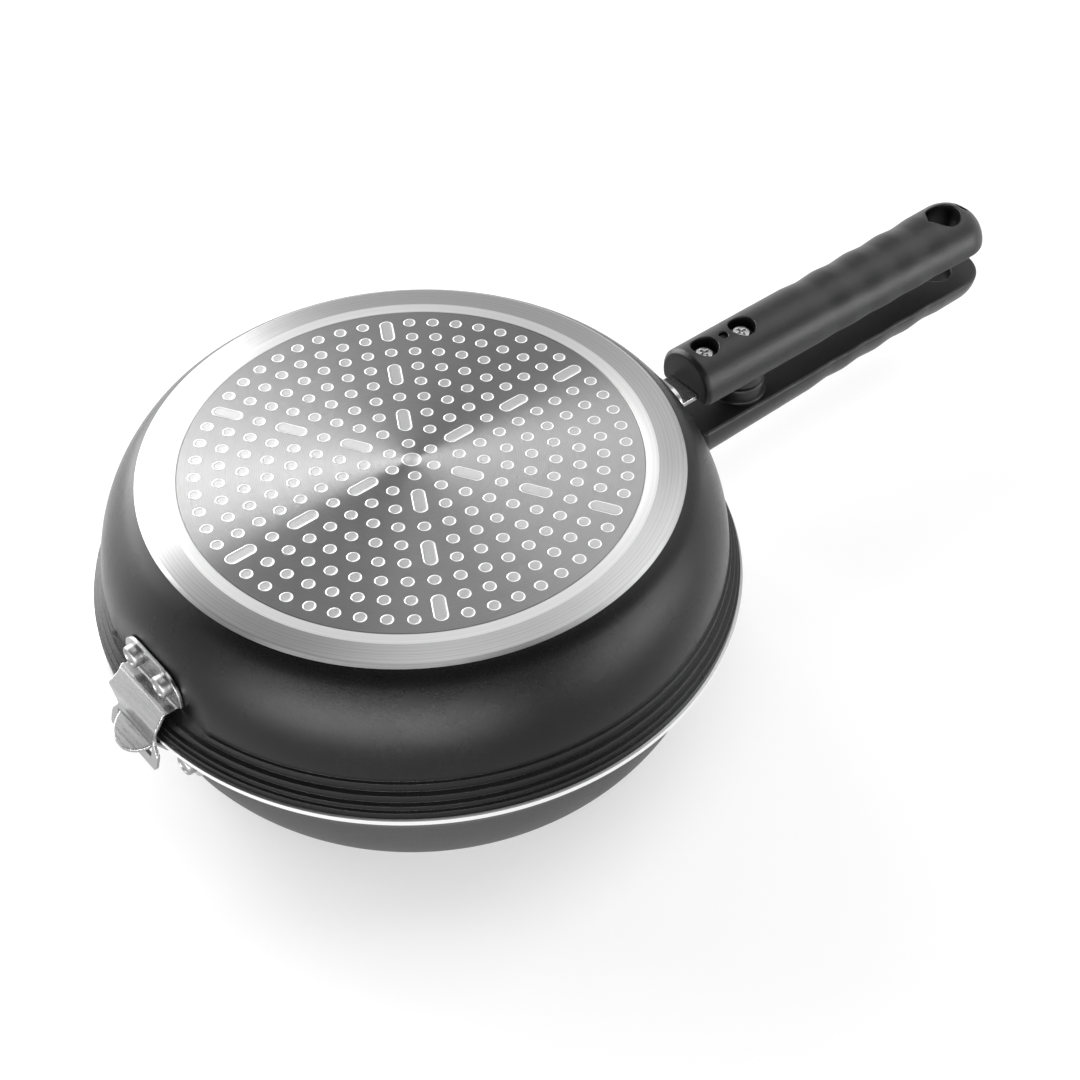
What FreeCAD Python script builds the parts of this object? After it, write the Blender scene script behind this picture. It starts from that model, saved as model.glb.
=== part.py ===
import FreeCAD, Part
import math
import os

# Double sided flip pan: two shallow frying pans that close rim to rim on a
# loose hook hinge, each with its own half-round handle.
# Millimetres. +Z is up, +X points to the handles, -X to the hinge, and the
# origin is the centre of the base ring that the lower pan stands on.
# Each half is drawn once as a lower half whose parting plane is z = 0. Inside
# a half, "h" is the height measured from the parting plane towards its base.

# Pan shells
pan_depth = 51.0
wall_thickness = 2.8
floor_thickness = 4.6
rim_radius = 120.0
upper_rim_inset = 1.0
upper_base_inset = 22.7
lower_base_inset = 25.8
base_bevel_rise = 0.85
base_bevel_run = 1.4
rim_zone_height = 15.5
rim_land_width = 5.4
rim_land_height = 2.0
rim_edge_bevel = 1.4
shoulder_arc_radius = 18.5
upper_rim_radius = rim_radius - upper_rim_inset
upper_base_radius = rim_radius - upper_base_inset
lower_base_radius = rim_radius - lower_base_inset
rim_opening_radius = rim_radius - rim_land_width

# Directions of the wall curve, in degrees from level
wall_foot_slope = 30.0
shoulder_slope = 52.0
wall_top_slope = 86.0

# Stepped edge of the upper pan: shares of its flange width and height
step_out_shares = (0.20, 0.52, 0.80, 1.00)
step_level_shares = (0.14, 0.42, 0.66, 0.81)

# Steel induction disc let into each base
disc_inset = 37.4
disc_thickness = 0.8
disc_sink = 0.25
disc_fit = 0.05
disc_bevel_width = 4.7
dot_edge_margin = 6.1
dot_ring_count = 9
slot_length = 12.0
slot_width = 5.1
slot_line_count = 6
slots_per_line = 3
centre_dot_radius = 3.5
disc_radius = rim_radius - disc_inset
dot_pitch = (disc_radius - dot_edge_margin) / dot_ring_count

# Rivets, and the flats in the wall that the plates are riveted to
bracket_flat_rise = 1.1
hinge_flat_fall = 2.5
flat_slope_run = 5.5
flat_slope_rise = 5.5
flat_border = 14.0
rivet_spacing = 17.8
rivet_shank_radius = 3.0
rivet_head_radius = 4.1
rivet_head_height = 3.4
rivet_rise = 6.7
rivet_tail_radius = 5.0
rivet_tail_height = 1.2
rivet_fit = 0.05
bracket_flat_end_height = rim_zone_height + bracket_flat_rise
hinge_flat_end_height = rim_zone_height - hinge_flat_fall
rivet_height = rim_zone_height + rivet_rise
rivet_row_half_width = rivet_spacing / 2 + rivet_head_radius

# Hinge plates, bent from sheet
sheet_thickness = 1.4
sheet_bend_radius = 1.0
hinge_bend_rise = 0.8
hinge_plate_border = 6.0
hinge_plate_side = 4.1
hinge_waist_rise = 2.2
hinge_corner_radius = 9.0
hinge_notch_radius = 1.5
hinge_neck_radius = 3.0
hinge_bend_height = hinge_flat_end_height + hinge_bend_rise
hinge_plate_top = rivet_height + hinge_plate_border
hinge_plate_half_width = rivet_row_half_width + hinge_plate_side
hinge_waist_height = hinge_bend_height + hinge_waist_rise

# Tongue of the lower hinge plate
tongue_half_width = 10.1
tongue_stand_off = 1.8
tongue_crest_height = 0.9
tongue_root_gap = 1.1
tongue_reach = 7.4
tongue_drop = 2.9
rim_clearance = 0.4
tongue_crest_distance = rim_radius + tongue_stand_off
tongue_root_distance = tongue_crest_distance + tongue_root_gap
tongue_tip_distance = tongue_root_distance + tongue_reach

# Ridges, channel and tail of the upper hinge plate, with the slot for the tongue
ridge_out = 5.2
ridge_rise = 0.4
ledge_width_gain = 3.6
ledge_end_width_gain = 4.8
ledge_reach = 1.9
ledge_end_fall = 6.1
neck_width_gain = 0.7
channel_gap = 1.6
channel_height = 1.6
tail_flare = 3.0
tail_drop = 9.5
tail_side_width = 3.6
tongue_side_gap = 0.9
hook_slot_start = 0.5
hook_slot_end = 5.4
ridge_height = hinge_bend_height + ridge_rise
ledge_end_height = rim_zone_height - ledge_end_fall
channel_distance = rim_radius + channel_gap
hook_slot_half_width = tongue_half_width + tongue_side_gap
tail_half_width = hook_slot_half_width + tail_side_width

# Handle grips
grip_stand_off = 14.0
grip_length = 171.0
grip_half_width = 13.4
grip_end_half_width = 16.2
grip_inner_height = 7.3
grip_outer_height = 26.1
grip_end_outer_height = 23.5
grip_edge_bevel = 0.8
grip_front_bevel = 1.6
wave_setback = 63.0
wave_end_gap = 13.8
wave_depth = 0.9
wave_count = 4
wave_steps = 4
grip_start = rim_radius + grip_stand_off
grip_end = grip_start + grip_length
grip_end_centre = grip_end - grip_end_half_width
wave_start = grip_start + wave_setback
wave_pitch = (grip_end_centre - wave_end_gap - wave_start) / wave_count

# Handle brackets, bent from thicker sheet
bracket_thickness = 2.2
bracket_bend_radius = 1.4
bracket_bend_rise = 0.2
bracket_plate_border = 8.8
bracket_plate_side = 8.0
bracket_waist_rise = 3.9
bracket_corner_radius = 7.0
bracket_step_out = 4.0
stem_half_width = 8.1
stem_depth = 3.3
stem_insertion = 42.0
stem_fit = 0.05
bracket_bend_height = bracket_flat_end_height + bracket_bend_rise
bracket_plate_top = rivet_height + bracket_plate_border
bracket_plate_half_width = rivet_row_half_width + bracket_plate_side
bracket_waist_height = bracket_flat_end_height + bracket_waist_rise
stem_height = grip_inner_height + stem_depth
stem_inner_height = stem_height - bracket_thickness
stem_start_distance = rim_radius + bracket_step_out
stem_end_distance = grip_start + stem_insertion

# Handle screws
front_screw_setback = 10.0
screw_spacing = 20.4
screw_mouth_radius = 5.7
screw_head_radius = 4.1
screw_head_height = 2.6
screw_head_depth = 4.2
screw_shank_radius = 2.25
screw_end_gap = 0.4
cross_slot_length = 4.6
cross_slot_width = 1.1
cross_slot_depth = 1.3
index_hole_radius = 1.95
index_hole_depth = 2.5
front_screw_distance = grip_start + front_screw_setback
rear_screw_distance = front_screw_distance + screw_spacing

# Hanging hole and the small opening at the handle's tip
hanging_hole_radius = 7.6
hanging_hole_setback = 20.2
hanging_hole_point = 9.6
tip_opening_radius = 3.1
tip_opening_depth = 7.0
tip_opening_setback = 7.6

# Closing magnets in the bosses between the handles
boss_radius = 11.3
boss_bevel = 0.8
boss_wall = 3.3
magnet_height = 4.0
magnet_fit = 0.05
magnet_radius = boss_radius - boss_wall

# Length by which a cutter passes through what it cuts
overrun = 20.0

X_AXIS = FreeCAD.Vector(1, 0, 0)
Y_AXIS = FreeCAD.Vector(0, 1, 0)
Z_AXIS = FreeCAD.Vector(0, 0, 1)


def vec(x, y, z):
    return FreeCAD.Vector(x, y, z)


def heading(slope):
    """Unit direction in the r-z plane of a curve that climbs at this slope."""
    angle = math.radians(slope)
    return vec(math.cos(angle), 0, math.sin(angle))


def outward(slope):
    """Unit normal, on the outer side, of a curve with this slope."""
    angle = math.radians(slope)
    return vec(math.sin(angle), 0, -math.cos(angle))


def line(start, end):
    return Part.LineSegment(start, end).toShape()


def polyline(points):
    return [line(a, b) for a, b in zip(points, points[1:])]


def arc_between(centre, radius, first_slope, last_slope):
    """Arc with this centre from one heading to another."""
    middle_slope = (first_slope + last_slope) / 2
    points = [centre + outward(s) * radius for s in (first_slope, middle_slope, last_slope)]
    return Part.Arc(*points).toShape()


def revolve_profile(edges):
    """Solid of revolution about Z from edges in the X-Z plane that start and end on the axis."""
    first = edges[0].firstVertex().Point if edges[0].Orientation == "Forward" else edges[0].lastVertex().Point
    last = edges[-1].lastVertex().Point
    closed = Part.Wire(Part.__sortEdges__(edges + [line(last, first)]))
    return Part.Face(closed).revolve(vec(0, 0, 0), Z_AXIS, 360)


def prism(points, direction):
    """Solid made by extruding a closed polygon."""
    face = Part.Face(Part.makePolygon(list(points) + [points[0]]))
    return face.extrude(direction)


def box_between(x_range, y_range, z_range):
    low = vec(x_range[0], y_range[0], z_range[0])
    return Part.makeBox(x_range[1] - x_range[0], y_range[1] - y_range[0], z_range[1] - z_range[0], low)


def stadium(length, width, centre_x):
    """Closed wire in the X-Y plane: a slot with round ends, lying along X."""
    reach = (length - width) / 2
    half = width / 2
    left, right = centre_x - reach, centre_x + reach
    return Part.Wire([
        line(vec(left, -half, 0), vec(right, -half, 0)),
        Part.Arc(vec(right, -half, 0), vec(right + half, 0, 0), vec(right, half, 0)).toShape(),
        line(vec(right, half, 0), vec(left, half, 0)),
        Part.Arc(vec(left, half, 0), vec(left - half, 0, 0), vec(left, -half, 0)).toShape(),
    ])


# Wall curve of a pan: a shoulder arc and a long wall arc, tangent to each other

def wall_curve(base_radius):
    """Centres, radii and end points of the two arcs of the outer wall."""
    start = vec(base_radius, 0, base_bevel_rise - pan_depth)
    shoulder_centre = start - outward(wall_foot_slope) * shoulder_arc_radius
    shoulder = shoulder_centre + outward(shoulder_slope) * shoulder_arc_radius
    climb = -rim_zone_height - shoulder.z
    fall = math.cos(math.radians(shoulder_slope)) - math.cos(math.radians(wall_top_slope))
    wall_arc_radius = climb / fall
    wall_centre = shoulder - outward(shoulder_slope) * wall_arc_radius
    top = wall_centre + outward(wall_top_slope) * wall_arc_radius
    return {
        "start": start,
        "shoulder_centre": shoulder_centre,
        "wall_centre": wall_centre,
        "wall_arc_radius": wall_arc_radius,
        "top": top,
    }


def flat_distance(base_radius):
    """Distance from the axis to the flats, which are just large enough inside for the rivets."""
    curve = wall_curve(base_radius)
    centre = curve["wall_centre"]
    inner_arc_radius = curve["wall_arc_radius"] - wall_thickness
    level = -rivet_height - rivet_tail_radius
    inner_radius = centre.x + math.sqrt(inner_arc_radius ** 2 - (level - centre.z) ** 2)
    half_width = rivet_spacing / 2 + rivet_tail_radius
    return math.sqrt(inner_radius ** 2 - half_width ** 2) + wall_thickness


def disc_recess_edges(base_radius):
    """Underside of the base from the axis to the start of the wall."""
    floor = -pan_depth + disc_sink + disc_thickness
    recess_radius = disc_radius + disc_fit
    points = [
        vec(0, 0, floor),
        vec(recess_radius, 0, floor),
        vec(recess_radius, 0, -pan_depth + disc_sink),
        vec(recess_radius + disc_bevel_width, 0, -pan_depth),
        vec(base_radius - base_bevel_run, 0, -pan_depth),
        vec(base_radius, 0, -pan_depth + base_bevel_rise),
    ]
    return polyline(points)


def stepped_flange_points(top):
    """Stairs of small ledges from the top of the wall to the upper pan's rim."""
    width = upper_rim_radius - top.x
    points = []
    inner = top.x
    for out_share, level_share in zip(step_out_shares, step_level_shares):
        level = -rim_zone_height * (1 - level_share)
        outer = top.x + width * out_share
        points.append(vec(inner, 0, level - (outer - inner) / 2))
        points.append(vec(outer, 0, level))
        inner = outer
    points.append(vec(upper_rim_radius, 0, 0))
    return points


def plain_flange_points(top):
    """Straight flare from the top of the wall to the lower pan's bare edge."""
    return [
        vec(rim_radius - rim_edge_bevel, 0, -rim_land_height - rim_edge_bevel),
        vec(rim_radius, 0, -rim_land_height),
        vec(rim_radius, 0, 0),
    ]


def outer_body(base_radius, flange_points):
    curve = wall_curve(base_radius)
    edges = disc_recess_edges(base_radius)
    edges.append(arc_between(curve["shoulder_centre"], shoulder_arc_radius, wall_foot_slope, shoulder_slope))
    edges.append(arc_between(curve["wall_centre"], curve["wall_arc_radius"], shoulder_slope, wall_top_slope))
    edges += polyline([curve["top"]] + flange_points + [vec(0, 0, 0)])
    return revolve_profile(edges)


def cavity(base_radius):
    """Cooking space: parallel to the outer wall, with a round corner at the floor."""
    curve = wall_curve(base_radius)
    floor = -pan_depth + floor_thickness
    inner_shoulder = curve["shoulder_centre"] + outward(shoulder_slope) * (shoulder_arc_radius - wall_thickness)
    corner_radius = (inner_shoulder.z - floor) / (1 - math.cos(math.radians(shoulder_slope)))
    corner_centre = inner_shoulder - outward(shoulder_slope) * corner_radius
    inner_wall_radius = curve["wall_arc_radius"] - wall_thickness
    inner_top = curve["wall_centre"] + outward(wall_top_slope) * inner_wall_radius
    edges = [
        line(vec(0, 0, floor), vec(corner_centre.x, 0, floor)),
        arc_between(corner_centre, corner_radius, 0, shoulder_slope),
        arc_between(curve["wall_centre"], inner_wall_radius, shoulder_slope, wall_top_slope),
    ]
    edges += polyline([
        inner_top,
        vec(rim_opening_radius, 0, -rim_land_height),
        vec(rim_opening_radius, 0, 0),
        vec(0, 0, 0),
    ])
    return revolve_profile(edges)


def beyond_flat(side, distance, end_height):
    """Block outside a flat, on the handle side (+1) or the hinge side (-1).

    Towards the rim the flat ends in a slope that runs out to the flange.
    """
    far = distance + rim_radius
    half_width = bracket_plate_half_width + flat_border / 2
    slope_height = end_height - flat_slope_rise
    corners = [
        (distance, pan_depth),
        (distance, end_height),
        (distance + flat_slope_run, slope_height),
        (far, slope_height),
        (far, pan_depth),
    ]
    points = [vec(side * d, -half_width, -h) for d, h in corners]
    return prism(points, Y_AXIS * (2 * half_width))


def rivet_holes(distance, side, radius):
    """Pair of level cylinders through the wall and plate at a flat."""
    holes = []
    for y in (-rivet_spacing / 2, rivet_spacing / 2):
        start = vec(side * (distance - overrun / 2), y, -rivet_height)
        holes.append(Part.makeCylinder(radius, overrun, start, X_AXIS * side))
    return holes


def disc_pads():
    """Aluminium that stands in the disc's slots and centre hole, flush with the steel."""
    pads = []
    for wire in disc_openings(disc_fit):
        wire.translate(vec(0, 0, -pan_depth + disc_sink))
        pads.append(Part.Face(wire).extrude(vec(0, 0, disc_thickness)))
    return pads


def disc_openings(clearance):
    """Wires of the slots on the six lines and of the centre hole, shrunk by a clearance."""
    wires = [Part.Wire(Part.makeCircle(centre_dot_radius - clearance))]
    for line_number in range(slot_line_count):
        angle = 360 * line_number / slot_line_count
        for number in range(slots_per_line):
            ring = dot_ring_count * (number + 1) / slots_per_line
            centre = (ring - 1 / 2) * dot_pitch
            wire = stadium(slot_length - 2 * clearance, slot_width - 2 * clearance, centre)
            wire.rotate(vec(0, 0, 0), Z_AXIS, angle)
            wires.append(wire)
    return wires


def make_pan(base_radius, flange_points):
    """Pan shell with pressed flats, rivet holes and pads for the induction disc."""
    distance = flat_distance(base_radius)
    body = outer_body(base_radius, flange_points)
    space = cavity(base_radius)
    turn = math.atan2(flat_slope_run, flat_slope_rise)
    for side, end_height in ((1, bracket_flat_end_height), (-1, hinge_flat_end_height)):
        body = body.cut(beyond_flat(side, distance, end_height))
        inner_end_height = end_height - wall_thickness * math.tan(turn / 2)
        space = space.cut(beyond_flat(side, distance - wall_thickness, inner_end_height))
    body = body.cut(space)
    for side in (1, -1):
        for hole in rivet_holes(distance, side, rivet_shank_radius + rivet_fit):
            body = body.cut(hole)
    return body.fuse(disc_pads()).removeSplitter()


def make_upper_pan():
    top = wall_curve(upper_base_radius)["top"]
    return make_pan(upper_base_radius, stepped_flange_points(top))


def make_lower_pan():
    top = wall_curve(lower_base_radius)["top"]
    return make_pan(lower_base_radius, plain_flange_points(top))


def make_induction_disc():
    """Round steel disc with slots on six lines and a centre hole."""
    outline = Part.Wire(Part.makeCircle(disc_radius))
    face = Part.makeFace([outline] + disc_openings(0), "Part::FaceMakerBullseye")
    face.translate(vec(0, 0, -pan_depth + disc_sink))
    return face.extrude(vec(0, 0, disc_thickness))


def make_rivet(distance, side, plate_thickness, y):
    """Rivet with a tall head outside the plate and a flat head inside the pan."""
    inner_face = distance - wall_thickness
    outer_face = distance + plate_thickness
    start = vec(side * inner_face, y, -rivet_height)
    direction = X_AXIS * side
    shank = Part.makeCylinder(rivet_shank_radius, outer_face - inner_face, start, direction)
    head_start = vec(side * outer_face, y, -rivet_height)
    head = Part.makeCylinder(rivet_head_radius, rivet_head_height, head_start, direction)
    tail = Part.makeCylinder(rivet_tail_radius, rivet_tail_height, start, direction * -1)
    return shank.fuse([head, tail]).removeSplitter()


# Bent sheet parts

def rounded_path(points, radii):
    """Open wire of lines through points, with a round bend at each inner point."""
    edges = []
    previous = points[0]
    for before, corner, after, radius in zip(points, points[1:], points[2:], radii):
        to_before = (before - corner).normalize()
        to_after = (after - corner).normalize()
        turn = to_before.getAngle(to_after)
        set_back = radius / math.tan(turn / 2)
        bisector = (to_before + to_after).normalize()
        start = corner + to_before * set_back
        end = corner + to_after * set_back
        middle = corner + bisector * (radius / math.sin(turn / 2) - radius)
        edges.append(line(previous, start))
        edges.append(Part.Arc(start, middle, end).toShape())
        previous = end
    edges.append(line(previous, points[-1]))
    return Part.Wire(edges)


def bent_strip(points, thickness, bend_radius, half_width):
    """Sheet bent along a path of (distance, height) points, the path being its middle."""
    bends = [bend_radius + thickness / 2] * len(points)
    path = rounded_path([vec(d, 0, -h) for d, h in points], bends)
    one_side = path.makeOffset2D(thickness / 2, 0, False, True)
    other_side = path.makeOffset2D(-thickness / 2, 0, False, True)
    ends = []
    for a, b in zip(end_points(one_side), end_points(other_side)):
        ends.append(line(a, b))
    edges = one_side.Edges + other_side.Edges + ends
    section = Part.Face(Part.Wire(Part.__sortEdges__(edges)))
    section.translate(vec(0, -half_width, 0))
    return section.extrude(vec(0, 2 * half_width, 0))


def end_points(wire):
    """First and last point of an open wire, nearest the parting plane last."""
    points = [v.Point for v in wire.OrderedVertexes]
    ends = [points[0], points[-1]]
    return sorted(ends, key=lambda p: (p.z, -p.x))


def outline_cutter(half_points):
    """Prism along X from half an outline of (half width, height, corner radius) points."""
    corners = [vec(0, y, -h) for y, h, radius in half_points]
    radii = [radius for y, h, radius in half_points[1:]]
    right = rounded_path(corners, radii)
    left = right.mirror(vec(0, 0, 0), Y_AXIS)
    outline = Part.Wire(Part.__sortEdges__(right.Edges + left.Edges))
    return Part.Face(outline).extrude(vec(grip_end, 0, 0))


def to_hinge_side(shape):
    """Turn a part drawn on the handle side round to the hinge side."""
    turned = shape.copy()
    turned.rotate(vec(0, 0, 0), Z_AXIS, 180)
    return turned


def make_upper_hinge_plate():
    """Plate on the wall, a ledge over the rim, a channel and a tail with the hook slot."""
    distance = flat_distance(upper_base_radius) + sheet_thickness / 2
    path = [
        (distance, hinge_plate_top),
        (distance, hinge_bend_height),
        (distance + ridge_out, ridge_height),
        (rim_radius + ledge_reach, ledge_end_height),
        (channel_distance, channel_height),
        (channel_distance + tail_flare, -tail_drop),
    ]
    strip = bent_strip(path, sheet_thickness, sheet_bend_radius, hinge_plate_half_width)
    outline = [
        (0, hinge_plate_top, 0),
        (hinge_plate_half_width, hinge_plate_top, hinge_corner_radius),
        (hinge_plate_half_width, hinge_waist_height, hinge_notch_radius),
        (tongue_half_width + ledge_width_gain, ridge_height, hinge_notch_radius),
        (tongue_half_width + ledge_end_width_gain, ledge_end_height, hinge_notch_radius),
        (tongue_half_width + neck_width_gain, channel_height, hinge_neck_radius),
        (tail_half_width, channel_height - tail_drop / 2, hinge_neck_radius),
        (tail_half_width, -tail_drop, hinge_notch_radius),
        (0, -tail_drop, 0),
    ]
    plate = strip.common(outline_cutter(outline))
    x_range = (channel_distance - overrun, channel_distance + overrun)
    y_range = (-hook_slot_half_width, hook_slot_half_width)
    plate = plate.cut(box_between(x_range, y_range, (hook_slot_start, hook_slot_end)))
    for hole in rivet_holes(distance, 1, rivet_shank_radius + rivet_fit):
        plate = plate.cut(hole)
    return to_hinge_side(plate)


def flare_point(height, stand_off):
    """Point of the hinge side at this distance off the lower pan's flare."""
    top = wall_curve(lower_base_radius)["top"]
    edge = plain_flange_points(top)[0]
    share = (-height - top.z) / (edge.z - top.z)
    on_flare = top + (edge - top) * share
    away = vec(edge.z - top.z, 0, top.x - edge.x).normalize()
    point = on_flare + away * stand_off
    return (point.x, -point.z)


def tongue_outline():
    """Prism seen from above: square sides to the tongue's root, then a round end."""
    far_side = hinge_plate_half_width
    corners = [
        vec(tongue_root_distance, tongue_half_width, 0),
        vec(tongue_root_distance, far_side, 0),
        vec(0, far_side, 0),
        vec(0, -far_side, 0),
        vec(tongue_root_distance, -far_side, 0),
        vec(tongue_root_distance, -tongue_half_width, 0),
    ]
    tip = vec(tongue_tip_distance, 0, 0)
    round_end = Part.Arc(corners[-1], tip, corners[0]).toShape()
    return Part.Face(Part.Wire(polyline(corners) + [round_end])).extrude(vec(0, 0, -pan_depth))


def make_lower_hinge_plate():
    """Plate on the wall and a neck under the rim that ends as the D-shaped tongue."""
    distance = flat_distance(lower_base_radius) + sheet_thickness / 2
    stand_off = sheet_thickness / 2 + rim_clearance
    crest_height = tongue_crest_height + sheet_thickness / 2
    path = [
        (distance, hinge_plate_top),
        (distance, hinge_bend_height),
        flare_point(hinge_flat_end_height - flat_slope_rise, stand_off),
        flare_point(rim_land_height + rim_edge_bevel, stand_off),
        (tongue_crest_distance, crest_height),
        (tongue_tip_distance, crest_height + tongue_drop),
    ]
    strip = bent_strip(path, sheet_thickness, sheet_bend_radius, hinge_plate_half_width)
    outline = [
        (0, hinge_plate_top, 0),
        (hinge_plate_half_width, hinge_plate_top, hinge_corner_radius),
        (hinge_plate_half_width, hinge_waist_height, hinge_notch_radius),
        (tongue_half_width, hinge_bend_height, hinge_notch_radius),
        (tongue_half_width, -overrun, hinge_notch_radius),
        (0, -overrun, 0),
    ]
    plate = strip.common(outline_cutter(outline))
    plate = plate.common(tongue_outline())
    for hole in rivet_holes(distance, 1, rivet_shank_radius + rivet_fit):
        plate = plate.cut(hole)
    return to_hinge_side(plate)


def make_handle_bracket(base_radius):
    """Plate on the wall that steps out over the rim and runs level into the grip."""
    distance = flat_distance(base_radius) + bracket_thickness / 2
    stem_middle = stem_height - bracket_thickness / 2
    path = [
        (distance, bracket_plate_top),
        (distance, bracket_bend_height),
        (stem_start_distance, stem_middle),
        (stem_end_distance, stem_middle),
    ]
    strip = bent_strip(path, bracket_thickness, bracket_bend_radius, bracket_plate_half_width)
    outline = [
        (0, bracket_plate_top, 0),
        (bracket_plate_half_width, bracket_plate_top, bracket_corner_radius),
        (bracket_plate_half_width, bracket_waist_height, bracket_thickness),
        (stem_half_width, rim_zone_height, bracket_thickness),
        (stem_half_width, -overrun, bracket_thickness),
        (0, -overrun, 0),
    ]
    bracket = strip.common(outline_cutter(outline))
    for hole in rivet_holes(distance, 1, rivet_shank_radius + rivet_fit):
        bracket = bracket.cut(hole)
    for screw_distance in (front_screw_distance, rear_screw_distance):
        start = vec(screw_distance, 0, 0)
        bracket = bracket.cut(Part.makeCylinder(screw_shank_radius + stem_fit, pan_depth, start, -Z_AXIS))
    return bracket


# Handle grip

def grip_section(x, outer_height, half_width):
    """Closed D-shaped wire across the handle: flat inside, one arc outside."""
    shoulder = grip_inner_height + grip_edge_bevel
    flat_half = half_width - grip_edge_bevel
    inner = [vec(x, -half_width, -shoulder), vec(x, -flat_half, -grip_inner_height),
             vec(x, flat_half, -grip_inner_height), vec(x, half_width, -shoulder)]
    arc = Part.Arc(inner[3], vec(x, 0, -outer_height), inner[0]).toShape()
    return Part.Wire(polyline(inner) + [arc])


def grip_station(x, trough):
    """Place, height and half width of a section: the handle gets flatter and wider to its end."""
    share = (x - grip_start) / (grip_end_centre - grip_start)
    outer_height = grip_outer_height + (grip_end_outer_height - grip_outer_height) * share
    half_width = grip_half_width + (grip_end_half_width - grip_half_width) * share
    return (x, outer_height - trough, half_width - trough / 2)


def grip_stations():
    """Sections from the front bevel along the plain neck and the finger waves."""
    stations = [
        (grip_start, grip_outer_height - grip_front_bevel, grip_half_width - grip_front_bevel),
        grip_station(grip_start + grip_front_bevel, 0),
    ]
    for number in range(wave_steps * wave_count + 1):
        trough = wave_depth * (1 - math.cos(2 * math.pi * number / wave_steps)) / 2
        stations.append(grip_station(wave_start + number * wave_pitch / wave_steps, trough))
    stations.append(grip_station(grip_end_centre, 0))
    return stations


def grip_body():
    """Front bevel, neck, waved middle and a round end."""
    stations = grip_stations()
    wires = [grip_section(*station) for station in stations]
    body = Part.makeLoft(wires, True, True)
    half_space = box_between((grip_end_centre - overrun, grip_end_centre + overrun),
                             (0, 2 * grip_end_half_width), (-pan_depth, 0))
    half_face = Part.Face(wires[-1]).common(half_space)
    end = half_face.revolve(vec(grip_end_centre, 0, 0), Z_AXIS, -180)
    return body.fuse(end).removeSplitter()


def teardrop_prism():
    """Hanging hole: round towards the tip, pointed towards the pan."""
    centre = grip_end - hanging_hole_setback
    point = centre - hanging_hole_point
    angle = math.acos(hanging_hole_radius / hanging_hole_point)
    touch_x = centre - hanging_hole_radius * math.cos(angle)
    touch_y = hanging_hole_radius * math.sin(angle)
    outline = Part.Wire([
        line(vec(point, 0, 0), vec(touch_x, -touch_y, 0)),
        Part.Arc(vec(touch_x, -touch_y, 0), vec(centre + hanging_hole_radius, 0, 0),
                 vec(touch_x, touch_y, 0)).toShape(),
        line(vec(touch_x, touch_y, 0), vec(point, 0, 0)),
    ])
    return Part.Face(outline).extrude(vec(0, 0, -pan_depth))


def make_grip():
    """Half-round handle with screw wells, bracket socket, magnet boss and hanging hole."""
    grip = grip_body()
    boss_cone = Part.makeCone(boss_radius - boss_bevel, boss_radius, boss_bevel,
                              vec(rear_screw_distance, 0, 0), -Z_AXIS)
    boss = Part.makeCylinder(boss_radius, grip_inner_height, vec(rear_screw_distance, 0, -boss_bevel), -Z_AXIS)
    grip = grip.fuse([boss_cone, boss])
    cutters = [box_between((grip_start - overrun, stem_end_distance + stem_fit),
                           (-stem_half_width - stem_fit, stem_half_width + stem_fit),
                           (-stem_height - stem_fit, stem_fit - stem_inner_height))]
    well_floor = grip_outer_height - screw_head_depth - screw_head_height
    for screw_distance in (front_screw_distance, rear_screw_distance):
        start = vec(screw_distance, 0, -well_floor)
        cutters.append(Part.makeCylinder(screw_mouth_radius, overrun, start, -Z_AXIS))
        shank_start = vec(screw_distance, 0, screw_end_gap - stem_inner_height)
        length = well_floor - stem_inner_height + screw_end_gap
        cutters.append(Part.makeCylinder(screw_shank_radius + stem_fit, length, shank_start, -Z_AXIS))
    index_x = front_screw_distance + screw_spacing / 2
    cutters.append(Part.makeCylinder(index_hole_radius, overrun,
                                     vec(index_x, 0, index_hole_depth - grip_outer_height), -Z_AXIS))
    cutters.append(Part.makeCylinder(magnet_radius + magnet_fit, magnet_height,
                                     vec(rear_screw_distance, 0, 0), -Z_AXIS))
    cutters.append(teardrop_prism())
    tip_start = vec(grip_end - tip_opening_setback, 0, tip_opening_depth - grip_end_outer_height)
    cutters.append(Part.makeCylinder(tip_opening_radius, overrun, tip_start, -Z_AXIS))
    for cutter in cutters:
        grip = grip.cut(cutter)
    return grip.removeSplitter()


def make_screw(screw_distance):
    """Screw with a cross recess, driven from the grip's outer side; its tip is flush with the stem."""
    head_top = grip_outer_height - screw_head_depth
    head_seat = head_top - screw_head_height
    centre = vec(screw_distance, 0, -head_seat)
    rim_height = screw_head_height / 2
    rim = Part.makeCylinder(screw_head_radius, rim_height, centre, -Z_AXIS)
    crown = Part.makeCone(screw_head_radius, screw_head_radius - rim_height / 2, rim_height,
                          centre - Z_AXIS * rim_height, -Z_AXIS)
    tip = stem_inner_height
    shank = Part.makeCylinder(screw_shank_radius, head_seat - tip, vec(screw_distance, 0, -tip), -Z_AXIS)
    screw = rim.fuse([crown, shank])
    long_half = cross_slot_length / 2
    short_half = cross_slot_width / 2
    for half_x, half_y in ((long_half, short_half), (short_half, long_half)):
        screw = screw.cut(box_between((screw_distance - half_x, screw_distance + half_x), (-half_y, half_y),
                                      (-head_top, cross_slot_depth - head_top)))
    return screw.removeSplitter()


def make_magnet():
    """Flat round magnet let into the boss, flush with the parting plane."""
    return Part.makeCylinder(magnet_radius, magnet_height, vec(rear_screw_distance, 0, 0), -Z_AXIS)


# Assembly

def as_lower(shape):
    placed = shape.copy()
    placed.translate(vec(0, 0, pan_depth))
    return placed


def as_upper(shape):
    placed = shape.copy()
    placed.rotate(vec(0, 0, 0), X_AXIS, 180)
    placed.translate(vec(0, 0, pan_depth))
    return placed


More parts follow.
